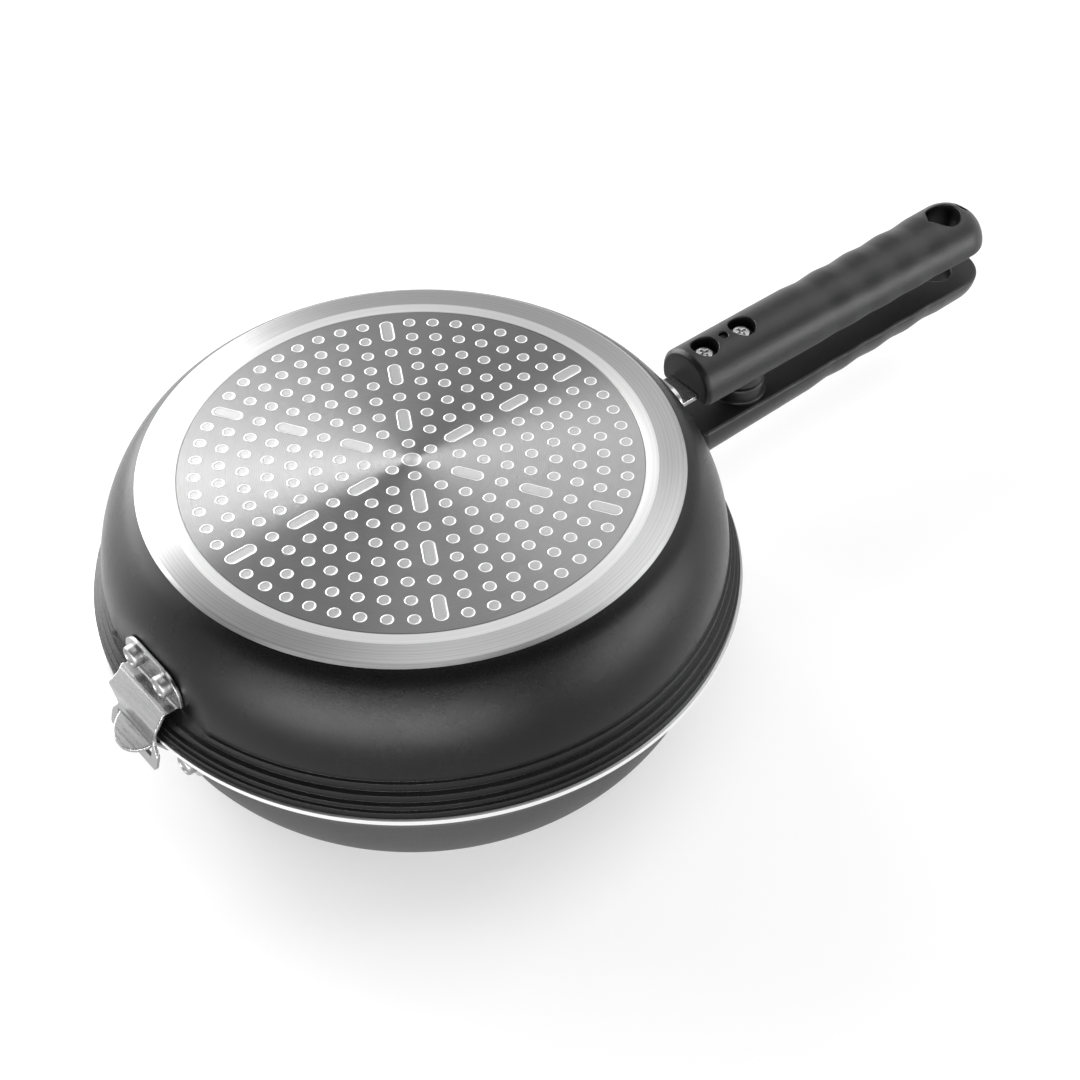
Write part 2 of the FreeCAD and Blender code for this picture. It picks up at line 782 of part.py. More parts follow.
def half_parts(name, base_radius, pan, hinge_plate):
    """All pieces of one half, drawn as a lower half."""
    distance = flat_distance(base_radius)
    parts = {
        name + "_pan": pan,
        name + "_induction_disc": make_induction_disc(),
        name + "_hinge_plate": hinge_plate,
        name + "_handle_bracket": make_handle_bracket(base_radius),
        name + "_handle_grip": make_grip(),
        name + "_handle_magnet": make_magnet(),
        name + "_handle_front_screw": make_screw(front_screw_distance),
        name + "_handle_rear_screw": make_screw(rear_screw_distance),
    }
    for side_name, y in (("left", rivet_spacing / 2), ("right", -rivet_spacing / 2)):
        parts[name + "_hinge_rivet_" + side_name] = make_rivet(distance, -1, sheet_thickness, y)
        parts[name + "_bracket_rivet_" + side_name] = make_rivet(distance, 1, bracket_thickness, y)
    return parts


def build_all():
    os.makedirs("parts", exist_ok=True)
    halves = (
        (half_parts("lower", lower_base_radius, make_lower_pan(), make_lower_hinge_plate()), as_lower),
        (half_parts("upper", upper_base_radius, make_upper_pan(), make_upper_hinge_plate()), as_upper),
    )
    for parts, place in halves:
        for name, shape in parts.items():
            placed = place(shape)
            placed.exportStep("parts/" + name + ".step")
            print(name, len(placed.Solids), placed.isValid(), round(placed.Volume))


build_all()
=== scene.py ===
import math

import bmesh
import bpy
from mathutils import Matrix, Vector


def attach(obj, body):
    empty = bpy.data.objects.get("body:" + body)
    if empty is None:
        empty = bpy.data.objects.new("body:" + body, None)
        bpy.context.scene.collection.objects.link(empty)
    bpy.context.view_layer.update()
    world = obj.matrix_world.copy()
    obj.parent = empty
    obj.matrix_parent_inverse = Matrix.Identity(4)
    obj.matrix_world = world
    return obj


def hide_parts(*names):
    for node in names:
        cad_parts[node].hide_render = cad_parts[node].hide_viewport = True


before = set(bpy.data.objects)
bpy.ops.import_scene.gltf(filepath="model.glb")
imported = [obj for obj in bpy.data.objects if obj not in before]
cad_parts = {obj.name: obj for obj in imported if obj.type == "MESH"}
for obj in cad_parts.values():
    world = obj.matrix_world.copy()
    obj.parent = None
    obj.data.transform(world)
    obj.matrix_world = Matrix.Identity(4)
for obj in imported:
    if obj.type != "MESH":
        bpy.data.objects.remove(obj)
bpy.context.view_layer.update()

# Sizes in millimetres, the same as the CAD model. A half is drawn as the lower
# one: "h" is the height from the parting plane towards its base.
MM = 0.001
HALVES = ("lower", "upper")

# Pan shells; slopes are in degrees from level
PAN_DEPTH = 51.0
WALL = 2.8
FLOOR = 4.6
RIM = {"lower": 120.0, "upper": 119.0}
BASE_RADIUS = {"lower": 94.2, "upper": 97.3}
RIM_ZONE = 15.5
RIM_OPENING = 114.6
RIM_LAND = 2.0
RIM_BEVEL = 1.4
BASE_RISE = 0.85
BASE_RUN = 1.4
SHOULDER_RADIUS = 18.5
SLOPES = (30.0, 52.0, 86.0)
STEP_OUT_SHARES = (0.20, 0.52, 0.80, 1.00)
STEP_LEVEL_SHARES = (0.14, 0.42, 0.66, 0.81)
EDGE_ROUND = 0.35

# Pressed flats behind the hinge plate and the handle bracket; each ends towards the rim in a 45 degree slope
FLAT_END = {"hinge": 13.0, "bracket": 16.6}
FLAT_SLOPE = 5.5
FLAT_HALF_WIDTH = 28.0
FLAT_BLEND = 2.5
FLAT_MITRE = math.tan(math.pi / 8)

# Induction disc, its dots and its slots; a bead is given by (distance out from the dot's radius, rise)
DISC_RADIUS = 82.6
DISC_THICKNESS = 0.8
DISC_SINK = 0.25
DISC_FIT = 0.05
DISC_BEVEL = 4.7
DISC_EDGE = 0.15
DOT_PITCH = 8.5
DOT_RINGS = 9
DOT_RADIUS = 2.3
CENTRE_DOT_RADIUS = 3.5
SLOT_LENGTH = 12.0
SLOT_WIDTH = 5.1
SLOT_LINES = 6
SLOT_RINGS = (2.5, 5.5, 8.5)
SLOT_PERIOD = 3
BEAD = ((0.05, -0.06), (-0.10, 0.07), (-0.28, 0.08), (-0.42, 0.02))
# The bead's bright material is a painted highlight on the rims of the dots and slots; only its small rise is
# real relief
PAINTED_GLINT_EDGE = 0
DULL_FACE = 1
BEAD_MATERIALS = (PAINTED_GLINT_EDGE, PAINTED_GLINT_EDGE, PAINTED_GLINT_EDGE, DULL_FACE)
PAD_MIDDLE_SHARE = 0.5
PAD_MIDDLE_RISE = 0.015

# Rivets; the edges are (distance from the end, distance in from the radius)
RIVET_SPACING = 17.8
RIVET_HEIGHT = 22.2
RIVET_SHANK_RADIUS = 3.0
RIVET_HEAD_RADIUS = 4.1
RIVET_HEAD_HEIGHT = 3.4
RIVET_TAIL_RADIUS = 5.0
RIVET_TAIL_HEIGHT = 1.2
RIVET_TAIL_EDGE = ((0.0, 0.9), (0.12, 0.4), (0.5, 0.05))
RIVET_HEAD_FOOT = (0.4, 0.08)
RIVET_HEAD_EDGE = ((0.8, 0.03), (0.35, 0.22), (0.08, 0.55), (0.0, 0.9))
RIVET_HEAD_DISH = ((0.04, 1.2), (0.45, 1.55), (0.5, 2.2), (0.3, 2.7))
RIVET_MIDDLE_SINK = 0.35
SHEET = {"hinge": 1.4, "bracket": 2.2}

# Screws, magnets and the finger waves of the grips
SCREWS = {"front": 144.0, "rear": 164.4}
MAGNET_RADIUS = 8.0
MAGNET_HEIGHT = 4.0
MAGNET_EDGE = ((0.0, 0.5), (0.15, 0.15), (0.5, 0.0))
WAVE_START = 180.0
WAVE_END = 272.0
WAVE_LOWEST = 10.0
WAVE_ROUNDS = 110

# Fineness of the meshes, in steps round a circle or along an arc or a line
PAN_AROUND = 384
DISC_AROUND = 256
PART_AROUND = 64
RIVET_AROUND = 48
PAD_AROUND = 28
SHOULDER_STEPS = 10
WALL_STEPS = 18
INNER_WALL_STEPS = 16
FLOOR_CORNER_STEPS = 8
CORNER_STEPS = 4
FLARE_STEPS = 12
ON_AXIS = 1e-6
CORNER_SHARE = 0.45
NEARLY_STRAIGHT = math.radians(172)

# Edges sharper than this many degrees stay sharp
PAN_SHARP = 32
TURNED_SHARP = 40
PAD_SHARP = 60

# Softened CAD forms: voxel size in millimetres, rounds of smoothing, share of the faces kept
PLATE_SOFTNESS = (0.22, 4, 0.35)
GRIP_SOFTNESS = (0.36, 6, 1.0)
SCREW_SOFTNESS = (0.13, 2, 0.5)
SMOOTH_FACTOR = 0.5


# Materials

def node_material(name):
    material = bpy.data.materials.new(name)
    material.use_nodes = True
    tree = material.node_tree
    return material, tree, tree.nodes["Principled BSDF"]


def add(tree, kind, **settings):
    node = tree.nodes.new(kind)
    for key, value in settings.items():
        if key in node.inputs:
            node.inputs[key].default_value = value
        else:
            setattr(node, key, value)
    return node


def ramp(tree, source, low, high):
    """Grey ramp between two (place, value) stops."""
    node = tree.nodes.new("ShaderNodeValToRGB")
    for element, (where, value) in zip(node.color_ramp.elements, (low, high)):
        element.position = where
        element.color = (value, value, value, 1.0)
    tree.links.new(source, node.inputs["Fac"])
    return node.outputs["Color"]


def bump(tree, shader, height, strength, distance):
    node = add(tree, "ShaderNodeBump", Strength=strength, Distance=distance)
    tree.links.new(height, node.inputs["Height"])
    tree.links.new(node.outputs["Normal"], shader.inputs["Normal"])


# Relief in metres, noise scales in features per metre, and the noise values that the ramps start and end at
GRAIN_DEPTH = 0.0004
LINE_DEPTH = 0.0002
SCRATCH_DEPTH = 0.0002
UNEVEN_SCALE = 60.0
SCRATCH_SCALE = 900.0
STAIN_SCALE = 120.0
STAIN_SHADE = 0.9
STREAK_RISE = 0.6
NOISE_LOW = 0.3
NOISE_HIGH = 0.7
GRAIN_HIGH = 0.75
LINE_GLOSS_LOW = 0.2
LINE_GLOSS_HIGH = 0.8
COATING_GLOSS_RANGE = 0.03
METAL_GLOSS_RANGE = 0.05
LINE_ROUGHER = 0.06
QUARTER_TURN = 0.25


def grained(name, dark, light, roughness, grain, scale, specular):
    """Sprayed coating or moulded plastic: fine grain and slightly uneven gloss."""
    material, tree, shader = node_material(name)
    where = add(tree, "ShaderNodeTexCoord").outputs["Object"]
    fine = add(tree, "ShaderNodeTexNoise", Scale=scale, Detail=3.0, Roughness=0.6)
    broad = add(tree, "ShaderNodeTexNoise", Scale=UNEVEN_SCALE, Detail=4.0)
    for node in (fine, broad):
        tree.links.new(where, node.inputs["Vector"])
    colour = ramp(tree, fine.outputs["Fac"], (NOISE_LOW, dark), (GRAIN_HIGH, light))
    gloss = ramp(tree, broad.outputs["Fac"], (NOISE_LOW, roughness - COATING_GLOSS_RANGE),
                 (NOISE_HIGH, roughness + COATING_GLOSS_RANGE))
    tree.links.new(colour, shader.inputs["Base Color"])
    tree.links.new(gloss, shader.inputs["Roughness"])
    shader.inputs["Specular IOR Level"].default_value = specular
    bump(tree, shader, fine.outputs["Fac"], grain, GRAIN_DEPTH)
    return material


def radius_node(tree):
    """Distance from the pans' axis, in metres."""
    split = add(tree, "ShaderNodeSeparateXYZ")
    flat = add(tree, "ShaderNodeCombineXYZ")
    length = add(tree, "ShaderNodeVectorMath", operation="LENGTH")
    tree.links.new(add(tree, "ShaderNodeTexCoord").outputs["Object"], split.inputs[0])
    tree.links.new(split.outputs["X"], flat.inputs["X"])
    tree.links.new(split.outputs["Y"], flat.inputs["Y"])
    tree.links.new(flat.outputs[0], length.inputs[0])
    return length.outputs["Value"]


def turned_metal(name, colour, roughness, lines, depth, fan, streak, cone=0.0):
    """Metal turned on a lathe: lines per millimetre, fan-shaped highlights and a slope outwards."""
    material, tree, shader = node_material(name)
    spread = add(tree, "ShaderNodeMath", operation="MULTIPLY")
    spread.inputs[1].default_value = lines / MM
    tree.links.new(radius_node(tree), spread.inputs[0])
    rings = add(tree, "ShaderNodeTexNoise", Scale=1.0, Detail=4.0, Roughness=0.7, noise_dimensions="1D")
    tree.links.new(spread.outputs[0], rings.inputs["W"])
    low = colour * (1 - streak)
    high = min(1.0, colour * (1 + streak * STREAK_RISE))
    shade = ramp(tree, rings.outputs["Fac"], (NOISE_LOW, low), (NOISE_HIGH, high))
    gloss = ramp(tree, rings.outputs["Fac"], (LINE_GLOSS_LOW, roughness - METAL_GLOSS_RANGE),
                 (LINE_GLOSS_HIGH, roughness + LINE_ROUGHER))
    tree.links.new(shade, shader.inputs["Base Color"])
    tree.links.new(gloss, shader.inputs["Roughness"])
    shader.inputs["Metallic"].default_value = 1.0
    shader.inputs["Anisotropic"].default_value = fan
    shader.inputs["Anisotropic Rotation"].default_value = QUARTER_TURN
    tangent = add(tree, "ShaderNodeTangent", direction_type="RADIAL", axis="Z")
    tree.links.new(tangent.outputs["Tangent"], shader.inputs["Tangent"])
    height = add(tree, "ShaderNodeMath", operation="MULTIPLY_ADD")
    height.inputs[1].default_value = depth * LINE_DEPTH
    sloped = add(tree, "ShaderNodeMath", operation="MULTIPLY")
    sloped.inputs[1].default_value = -cone
    tree.links.new(radius_node(tree), sloped.inputs[0])
    tree.links.new(rings.outputs["Fac"], height.inputs[0])
    tree.links.new(sloped.outputs[0], height.inputs[2])
    bump(tree, shader, height.outputs[0], 1.0, 1.0)
    return material


def worked_metal(name, colour, roughness, scratch, stretch=(1.0, 1.0, 1.0)):
    """Stamped or cast metal with fine scratches and stains."""
    material, tree, shader = node_material(name)
    scale = add(tree, "ShaderNodeMapping")
    scale.inputs["Scale"].default_value = stretch
    tree.links.new(add(tree, "ShaderNodeTexCoord").outputs["Object"], scale.inputs["Vector"])
    fine = add(tree, "ShaderNodeTexNoise", Scale=SCRATCH_SCALE, Detail=5.0, Roughness=0.65)
    broad = add(tree, "ShaderNodeTexNoise", Scale=STAIN_SCALE, Detail=3.0)
    for node in (fine, broad):
        tree.links.new(scale.outputs[0], node.inputs["Vector"])
    shade = ramp(tree, broad.outputs["Fac"], (NOISE_LOW, colour * STAIN_SHADE), (NOISE_HIGH, colour))
    gloss = ramp(tree, fine.outputs["Fac"], (NOISE_LOW, roughness - METAL_GLOSS_RANGE),
                 (NOISE_HIGH, roughness + METAL_GLOSS_RANGE))
    tree.links.new(shade, shader.inputs["Base Color"])
    tree.links.new(gloss, shader.inputs["Roughness"])
    shader.inputs["Metallic"].default_value = 1.0
    bump(tree, shader, fine.outputs["Fac"], scratch, SCRATCH_DEPTH)
    return material


COATINGS = {
    "upper_coating": dict(dark=0.002, light=0.008, roughness=0.26, grain=0.28, scale=2200.0, specular=0.20),
    # Both pans wear one black coating; the lower pan's lighter base colour is painted reflection of the white
    # floor, which its coating also reflects
    "lower_coating": dict(dark=0.025, light=0.055, roughness=0.50, grain=0.30, scale=1900.0, specular=0.35),
    "inner_coating": dict(dark=0.014, light=0.026, roughness=0.35, grain=0.15, scale=2600.0, specular=0.40),
    "grip_plastic": dict(dark=0.003, light=0.010, roughness=0.36, grain=0.30, scale=2200.0, specular=0.36),
}
TURNED_METALS = {
    "turned_ring": dict(colour=0.40, roughness=0.36, lines=2.4, depth=0.22, fan=0.80, streak=0.25, cone=0.16),
    "bevel_ring": dict(colour=0.70, roughness=0.32, lines=1.2, depth=0.08, fan=0.70, streak=0.12),
    "polished_edge": dict(colour=0.95, roughness=0.20, lines=1.0, depth=0.02, fan=0.30, streak=0.03),
    "induction_steel": dict(colour=0.26, roughness=0.42, lines=5.0, depth=0.35, fan=0.95, streak=0.30,
                            cone=0.06),
    "dot_metal": dict(colour=0.42, roughness=0.48, lines=5.0, depth=0.20, fan=0.40, streak=0.25),
}
WORKED_METALS = {
    # Bright metal of the dots' beads: a painted highlight on their rims
    "dot_painted_glint": dict(colour=0.88, roughness=0.34, scratch=0.05),
    "plate_steel": dict(colour=0.38, roughness=0.28, scratch=0.018, stretch=(1.0, 0.08, 0.6)),
    "rivet_metal": dict(colour=0.34, roughness=0.40, scratch=0.04),
    "screw_steel": dict(colour=0.62, roughness=0.25, scratch=0.12),
    "magnet_metal": dict(colour=0.60, roughness=0.22, scratch=0.05),
}
MATERIALS = {}
for maker, finishes in ((grained, COATINGS), (turned_metal, TURNED_METALS), (worked_metal, WORKED_METALS)):
    for finish_name, finish in finishes.items():
        MATERIALS[finish_name] = maker(finish_name, **finish)


# Placing: a half-frame point in millimetres to the row frame in metres

def place(half, x, y, h):
    if half == "lower":
        return Vector((x, y, PAN_DEPTH - h)) * MM
    return Vector((x, -y, PAN_DEPTH + h)) * MM


def declare(obj, half, slot, *nodes):
    """Make a piece ride on its half and stand for CAD nodes."""
    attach(obj, half + "_half")
    if nodes:
        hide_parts(*nodes)
    return obj


def link_mesh(name, mesh, materials):
    obj = bpy.data.objects.new(name, mesh)
    for material in materials:
        mesh.materials.append(material)
    bpy.context.scene.collection.objects.link(obj)
    return obj


def new_object(name, vertices, faces, half, materials, face_materials=None):
    """Mesh object from half-frame (x, y, h) points."""
    mesh = bpy.data.meshes.new(name)
    mesh.from_pydata([place(half, *v) for v in vertices], [], faces)
    obj = link_mesh(name, mesh, materials)
    if face_materials:
        mesh.polygons.foreach_set("material_index", face_materials)
    mesh.polygons.foreach_set("use_smooth", [True] * len(mesh.polygons))
    bm = bmesh.new()
    bm.from_mesh(mesh)
    bmesh.ops.recalc_face_normals(bm, faces=bm.faces)
    bm.to_mesh(mesh)
    bm.free()
    return obj


def apply_modifiers(obj):
    graph = bpy.context.evaluated_depsgraph_get()
    mesh = bpy.data.meshes.new_from_object(obj.evaluated_get(graph))
    old = obj.data
    obj.modifiers.clear()
    obj.data = mesh
    bpy.data.meshes.remove(old)


def smooth_by_angle(obj, degrees):
    """Sharp edges beyond an angle, smooth shading elsewhere."""
    limit = math.radians(degrees)
    bm = bmesh.new()
    bm.from_mesh(obj.data)
    for face in bm.faces:
        face.smooth = True
    for edge in bm.edges:
        edge.smooth = len(edge.link_faces) == 2 and edge.calc_face_angle(0) < limit
    bm.to_mesh(obj.data)
    bm.free()


def moulded_copy(name, node, softness, material):
    """Copy of a CAD node with its edges softened, as stamping or moulding leaves them."""
    voxel, rounds, keep = softness
    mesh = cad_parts[node].data.copy()
    mesh.name = name
    mesh.materials.clear()
    obj = link_mesh(name, mesh, [])
    remesh = obj.modifiers.new("remesh", "REMESH")
    remesh.mode = "VOXEL"
    remesh.voxel_size = voxel * MM
    smooth = obj.modifiers.new("smooth", "SMOOTH")
    smooth.factor = SMOOTH_FACTOR
    smooth.iterations = rounds
    if keep < 1.0:
        thin = obj.modifiers.new("thin", "DECIMATE")
        thin.ratio = keep
    apply_modifiers(obj)
    obj.data.materials.append(MATERIALS[material])
    obj.data.polygons.foreach_set("use_smooth", [True] * len(obj.data.polygons))
    return obj


# Profiles: lists of (r, h, zone, keep_sharp) points, the zone naming the band that starts there

def heading_point(centre, radius, slope):
    angle = math.radians(slope)
    return (centre[0] + radius * math.sin(angle), centre[1] + radius * math.cos(angle))


def wall_curve(base_radius):
    """Centres and radii of the two wall arcs, in (r, h), and the wall's top."""
    first, second, last = SLOPES
    start = (base_radius, PAN_DEPTH - BASE_RISE)
    shoulder_centre = heading_point(start, -SHOULDER_RADIUS, first)
    shoulder = heading_point(shoulder_centre, SHOULDER_RADIUS, second)
    fall = math.cos(math.radians(second)) - math.cos(math.radians(last))
    radius = (shoulder[1] - RIM_ZONE) / fall
    wall_centre = heading_point(shoulder, -radius, second)
    return shoulder_centre, wall_centre, radius, heading_point(wall_centre, radius, last)


def flat_distance(half):
    """Distance from the axis to the flats that the plates are riveted to."""
    shoulder_centre, centre, radius, top = wall_curve(BASE_RADIUS[half])
    level = RIVET_HEIGHT + RIVET_TAIL_RADIUS
    inner = centre[0] + math.sqrt((radius - WALL) ** 2 - (level - centre[1]) ** 2)
    return math.sqrt(inner ** 2 - (RIVET_SPACING / 2 + RIVET_TAIL_RADIUS) ** 2) + WALL


def arc_points(centre, radius, first, last, steps):
    return [heading_point(centre, radius, first + (last - first) * k / steps) for k in range(steps + 1)]


def between(a, b, steps):
    """Evenly spaced points inside a line, so that a flat can bend it."""
    return [(a[0] + (b[0] - a[0]) * k / steps, a[1] + (b[1] - a[1]) * k / steps) for k in range(1, steps)]


def round_corners(points, radius):
    """Profile with its sharp corners cut by small arcs; points are (r, h, zone, keep_sharp)."""
    result = [points[0][:3]]
    for before, corner, after in zip(points, points[1:], points[2:]):
        here = Vector(corner[:2])
        a = Vector(before[:2]) - here
        b = Vector(after[:2]) - here
        turn = a.angle(b)
        if corner[3] or turn > NEARLY_STRAIGHT:
            result.append(corner[:3])
            continue
        reach = min(radius / math.tan(turn / 2), a.length * CORNER_SHARE, b.length * CORNER_SHARE)
        start = here + a.normalized() * reach
        end = here + b.normalized() * reach
        for k in range(CORNER_STEPS + 1):
            t = k / CORNER_STEPS
            point = start * (1 - t) ** 2 + here * 2 * t * (1 - t) + end * t ** 2
            result.append((point.x, point.y, corner[2] if k == CORNER_STEPS else before[2]))
    result.append(points[-1][:3])
    return result


def ring_faces(a, b):
    """Faces between two rings of vertex numbers, either of which may be a single point."""
    faces = []
    count = max(len(a), len(b))
    for k in range(count):
        j = (k + 1) % count
        if len(a) == 1:
            faces.append((a[0], b[k], b[j]))
        elif len(b) == 1:
            faces.append((a[k], b[0], a[j]))
        else:
            faces.append((a[k], b[k], b[j], a[j]))
    return faces


def turned_part(name, half, origin, axis, profile, material, around=PART_AROUND):
    """Round part about a line along "x" or "h": profile points are (along, radius)."""
    vertices, rings = [], []
    for along, radius in profile:
        ring = []
        for k in range(1 if radius < ON_AXIS else around):
            angle = math.tau * k / around
            u = radius * math.cos(angle)
            v = radius * math.sin(angle)
            ring.append(len(vertices))
            if axis == "x":
                vertices.append((origin[0] + along, origin[1] + u, origin[2] + v))
            else:
                vertices.append((origin[0] + u, origin[1] + v, origin[2] + along))
        rings.append(ring)
    faces = []
    for a, b in zip(rings, rings[1:]):
        faces += ring_faces(a, b)
    obj = new_object(name, vertices, faces, half, [MATERIALS[material]])
    smooth_by_angle(obj, TURNED_SHARP)
    return obj


# Pan shells

def flat_limit(h, distance, end_height, inner):
    """Greatest distance along X that a pressed flat leaves at this height, outside or inside the wall."""
    end = end_height - (WALL * FLAT_MITRE if inner else 0)
    base = distance - (WALL if inner else 0)
    return base + max(0.0, end - h)


def soft_min(a, b, width):
    """Smaller of two numbers, blended where they are closer than the width."""
    t = max(0.0, width - abs(a - b)) / width
    return min(a, b) - t * t * width / 4


def pan_profile(half):
    """Outer side from the recess in the base to the rim, then the inside to its centre."""
    base_radius = BASE_RADIUS[half]
    shoulder_centre, wall_centre, wall_radius, top = wall_curve(base_radius)
    recess = PAN_DEPTH - DISC_SINK - DISC_THICKNESS
    recess_radius = DISC_RADIUS + DISC_FIT
    first, second, last = SLOPES
    points = [
        (0.0, recess, "ring", True),
        (recess_radius, recess, "ring", False),
        (recess_radius, PAN_DEPTH - DISC_SINK, "bevel", False),
        (recess_radius + DISC_BEVEL, PAN_DEPTH, "ring", False),
        (base_radius - BASE_RUN, PAN_DEPTH, "ring", False),
    ]
    shoulder_arc = arc_points(shoulder_centre, SHOULDER_RADIUS, first, second, SHOULDER_STEPS)
    wall_arc = arc_points(wall_centre, wall_radius, second, last, WALL_STEPS)[1:]
    points += [(r, h, "outer", True) for r, h in shoulder_arc + wall_arc]
    rim = RIM[half]
    if half == "upper":
        width = rim - top[0]
        inner = top[0]
        for out_share, level_share in zip(STEP_OUT_SHARES, STEP_LEVEL_SHARES):
            level = RIM_ZONE * (1 - level_share)
            outer = top[0] + width * out_share
            points.append((inner, level + (outer - inner) / 2, "outer", False))
            points.append((outer, level, "outer", False))
            inner = outer
    else:
        edge = (rim - RIM_BEVEL, RIM_LAND + RIM_BEVEL)
        points += [(r, h, "outer", True) for r, h in between(top, edge, FLARE_STEPS)]
        points.append((*edge, "edge", False))
        points.append((rim, RIM_LAND, "edge", False))
    points.append((rim, 0.0, "land", False))
    outer_points = round_corners(points, EDGE_ROUND)
    inner_shoulder = heading_point(shoulder_centre, SHOULDER_RADIUS - WALL, second)
    floor = PAN_DEPTH - FLOOR
    corner = (floor - inner_shoulder[1]) / (1 - math.cos(math.radians(second)))
    corner_centre = heading_point(inner_shoulder, -corner, second)
    inside = [
        (rim, 0.0, "land", True),
        (RIM_OPENING, 0.0, "inner", False),
        (RIM_OPENING, RIM_LAND, "inner", False),
    ]
    inner_top = heading_point(wall_centre, wall_radius - WALL, last)
    flare = between((RIM_OPENING, RIM_LAND), inner_top, FLARE_STEPS)
    wall_arc = arc_points(wall_centre, wall_radius - WALL, last, second, INNER_WALL_STEPS)
    floor_arc = arc_points(corner_centre, corner, second, 0, FLOOR_CORNER_STEPS)[1:]
    inside += [(r, h, "inner", True) for r, h in flare + wall_arc + floor_arc]
    inside.append((0.0, floor, "inner", True))
    return outer_points + round_corners(inside, EDGE_ROUND)[1:], len(outer_points)


def make_pan(half):
    """Spun shell; its wall bends in to a flat at the hinge and at the handle."""
    profile, inner_from = pan_profile(half)
    distance = flat_distance(half)
    vertices, rings = [], []
    for index, (r, h) in enumerate(point[:2] for point in profile):
        ring = []
        for k in range(1 if r < ON_AXIS else PAN_AROUND):
            angle = math.tau * k / PAN_AROUND
            x = r * math.cos(angle)
            y = r * math.sin(angle)
            end_height = FLAT_END["bracket" if x > 0 else "hinge"]
            if abs(y) < FLAT_HALF_WIDTH and h > end_height - FLAT_SLOPE:
                limit = flat_limit(h, distance, end_height, index >= inner_from)
                x = math.copysign(soft_min(abs(x), limit, FLAT_BLEND), x)
            ring.append(len(vertices))
            vertices.append((x, y, h))
        rings.append(ring)
    zones = {
        "ring": "turned_ring",
        "bevel": "bevel_ring",
        "outer": half + "_coating",
        "edge": "polished_edge",
        "land": "turned_ring",
        "inner": "inner_coating",
    }
    names = list(zones)
    faces, face_materials = [], []
    for a, b, point in zip(rings, rings[1:], profile):
        new = ring_faces(a, b)
        faces += new
        face_materials += [names.index(point[2])] * len(new)
    materials = [MATERIALS[zones[n]] for n in names]
    pan = new_object(half + "_pan_shell", vertices, faces, half, materials, face_materials)
    smooth_by_angle(pan, PAN_SHARP)
    return declare(pan, half, half + "_coating", half + "_pan")


# Induction disc with the pattern of raised dots and slots

def make_disc(half):
    top = PAN_DEPTH - DISC_SINK
    bottom = top - DISC_THICKNESS
    profile = [
        (bottom, 0.0),
        (bottom, DISC_RADIUS),
        (top - DISC_EDGE, DISC_RADIUS),
        (top, DISC_RADIUS - DISC_EDGE),
        (top, 0.0),
    ]
    disc = turned_part(half + "_disc_face", half, (0, 0, 0), "h", profile, "induction_steel", DISC_AROUND)
    return declare(disc, half, "induction_steel", half + "_induction_disc")


def pad_places():
    """Centre, direction, half straight length and radius of each dot and slot.

    On the slots' lines, the slots take the place of the dots in two rings of three.
    """
    places = [(0.0, 0.0, 0.0, CENTRE_DOT_RADIUS)]
    for ring in range(1, DOT_RINGS + 1):
        for k in range(SLOT_LINES * ring):
            on_line = k % ring == 0
            slot_is_there = ring % SLOT_PERIOD != 1
            if not (on_line and slot_is_there):
                places.append((ring * DOT_PITCH, 360.0 * k / (SLOT_LINES * ring), 0.0, DOT_RADIUS))
    straight = (SLOT_LENGTH - SLOT_WIDTH) / 2
    for ring in SLOT_RINGS:
        for k in range(SLOT_LINES):
            places.append((ring * DOT_PITCH, 360.0 * k / SLOT_LINES, straight, SLOT_WIDTH / 2))
    return places


def make_disc_pads(half):
    """Dots and slots: a flat middle inside a slightly raised bead, whose bright colour is a painted highlight
    on the rim.
    """
    top = PAN_DEPTH - DISC_SINK
    vertices, faces, face_materials = [], [], []
    for distance, turn, straight, radius in pad_places():
        angle = math.radians(turn)
        along = Vector((math.cos(angle), math.sin(angle)))
        across = Vector((-along.y, along.x))
        steps = [(radius + out, rise) for out, rise in BEAD]
        steps.append((radius * PAD_MIDDLE_SHARE, PAD_MIDDLE_RISE))
        rings = []
        for offset, rise in steps:
            ring = []
            for k in range(PAD_AROUND):
                a = math.tau * (k + 0.5) / PAD_AROUND
                u = math.copysign(straight, math.cos(a)) + offset * math.cos(a)
                point = along * (distance + u) + across * (offset * math.sin(a))
                ring.append(len(vertices))
                vertices.append((point.x, point.y, top + rise))
            rings.append(ring)
        for a, b, material in zip(rings, rings[1:], BEAD_MATERIALS):
            new = ring_faces(a, b)
            faces += new
            face_materials += [material] * len(new)
        faces.append(tuple(rings[-1]))
        face_materials.append(DULL_FACE)
    materials = [MATERIALS["dot_painted_glint"], MATERIALS["dot_metal"]]
    pads = new_object(half + "_disc_pads", vertices, faces, half, materials, face_materials)
    smooth_by_angle(pads, PAD_SHARP)
    return declare(pads, half, "induction_steel")


# Rivets, screws and magnets

